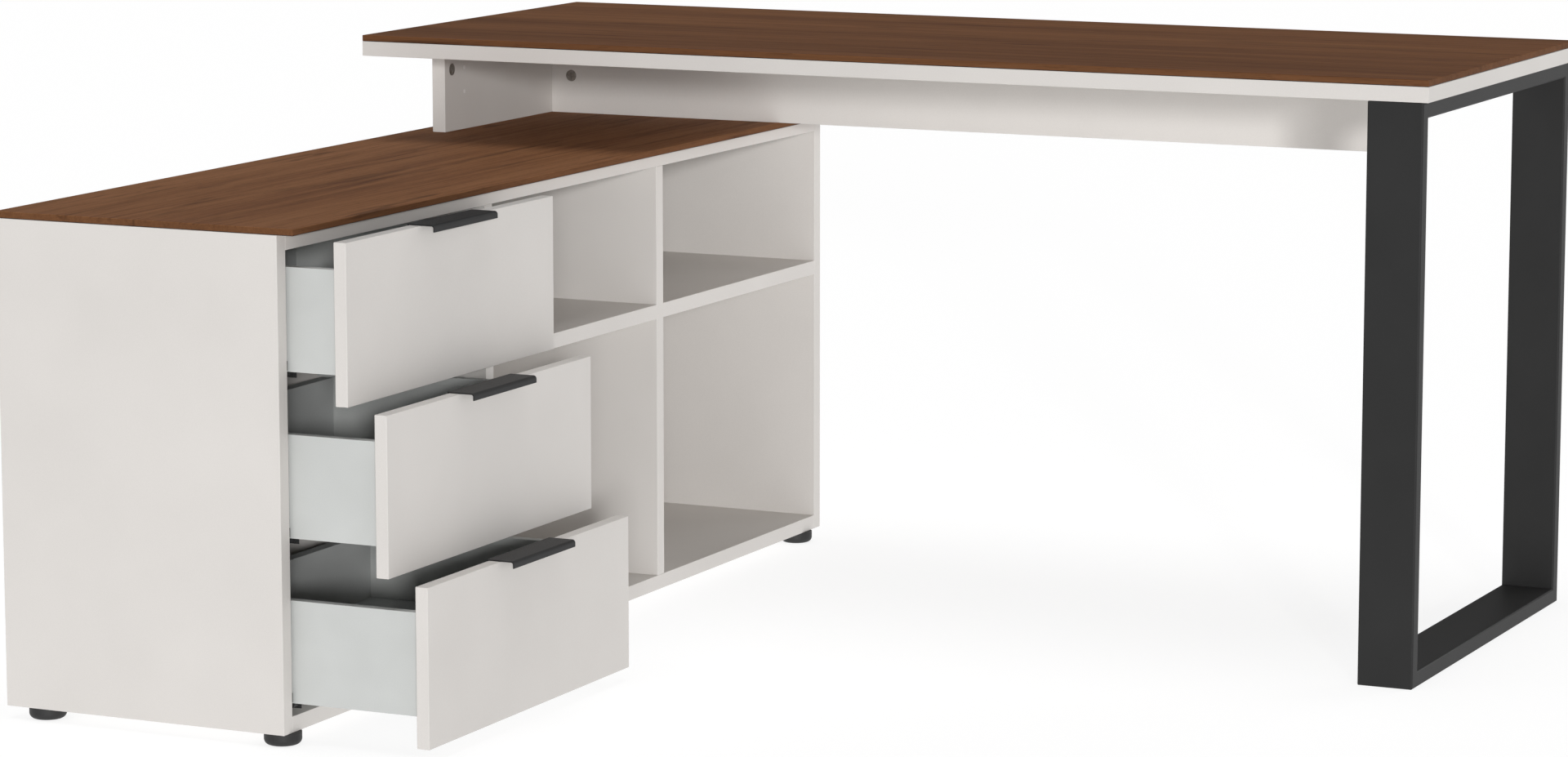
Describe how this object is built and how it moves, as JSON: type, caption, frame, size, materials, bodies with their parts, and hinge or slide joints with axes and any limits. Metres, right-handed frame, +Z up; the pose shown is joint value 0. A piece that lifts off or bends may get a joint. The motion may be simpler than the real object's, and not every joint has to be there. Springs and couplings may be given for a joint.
{
  "type": "corner desk",
  "caption": "L-shaped corner desk: a walnut-topped desk on a black loop leg, resting on a low cabinet with sliding drawers and open compartments.",
  "frame": {"origin": "middle of the whole desk's footprint, on the floor", "axes": "+X along the desk top to the right, away from the cabinet; +Y to the back edge of the desk top; +Z up"},
  "size_m": [1.45, 1.45, 0.736],
  "materials": {
    "walnut": "matt walnut decor with straight grain",
    "cream_board": "smooth matt melamine on chipboard",
    "grey_board": "smooth matt melamine on chipboard",
    "graphite_metal": "matt powder coat",
    "black_metal": "matt powder coat",
    "pale_steel": "satin powder coat",
    "black_plastic": "matt moulded plastic",
    "cream_plastic": "matt moulded plastic",
    "zinc": "bare die-cast zinc and zinc-plated steel",
    "beech": "bare turned beech"
  },
  "bodies": {
    "desk": {"desk_top_sheet": "walnut", "desk_top_board": "cream_board", "leg_front_post": "graphite_metal", "leg_back_post": "graphite_metal", "leg_top_rail": "graphite_metal", "leg_floor_rail": "graphite_metal", "leg_screws": "zinc", "modesty_panel": "cream_board", "support_panel": "cream_board", "cam_housings": "zinc", "cam_bolts": "zinc", "support_plugs": "cream_plastic", "desk_dowels": "beech", "cabinet_top_sheet": "walnut", "cabinet_top_board": "cream_board", "cabinet_bottom_board": "cream_board", "near_end_panel": "cream_board", "far_end_panel": "cream_board", "drawer_partition": "cream_board", "compartment_divider": "cream_board", "near_shelf": "cream_board", "far_shelf": "cream_board", "cabinet_back_panel": "cream_board", "carcass_dowels": "beech", "foot_near_left": "black_plastic", "foot_near_right": "black_plastic", "foot_middle_left": "black_plastic", "foot_middle_right": "black_plastic", "foot_far_left": "black_plastic", "foot_far_right": "black_plastic", "foot_pins": "zinc", "top_drawer_rails": "pale_steel", "middle_drawer_rails": "pale_steel", "bottom_drawer_rails": "pale_steel", "rail_rollers": "black_plastic"},
    "top_drawer": {"top_drawer_front": "cream_board", "top_drawer_handle": "black_metal", "top_drawer_near_side": "pale_steel", "top_drawer_far_side": "pale_steel", "top_drawer_base": "grey_board", "top_drawer_back": "grey_board", "top_drawer_rollers": "black_plastic", "top_drawer_fixings": "zinc"},
    "middle_drawer": {"middle_drawer_front": "cream_board", "middle_drawer_handle": "black_metal", "middle_drawer_near_side": "pale_steel", "middle_drawer_far_side": "pale_steel", "middle_drawer_base": "grey_board", "middle_drawer_back": "grey_board", "middle_drawer_rollers": "black_plastic", "middle_drawer_fixings": "zinc"},
    "bottom_drawer": {"bottom_drawer_front": "cream_board", "bottom_drawer_handle": "black_metal", "bottom_drawer_near_side": "pale_steel", "bottom_drawer_far_side": "pale_steel", "bottom_drawer_base": "grey_board", "bottom_drawer_back": "grey_board", "bottom_drawer_rollers": "black_plastic", "bottom_drawer_fixings": "zinc"}
  },
  "joints": [
    {"name": "top_drawer_slide", "type": "slide", "parent": "desk", "child": "top_drawer", "axis": [1, 0, 0], "range_m": [-0.07, 0.19]},
    {"name": "middle_drawer_slide", "type": "slide", "parent": "desk", "child": "middle_drawer", "axis": [1, 0, 0], "range_m": [-0.12, 0.14]},
    {"name": "bottom_drawer_slide", "type": "slide", "parent": "desk", "child": "bottom_drawer", "axis": [1, 0, 0], "range_m": [-0.17, 0.09]}
  ]
}
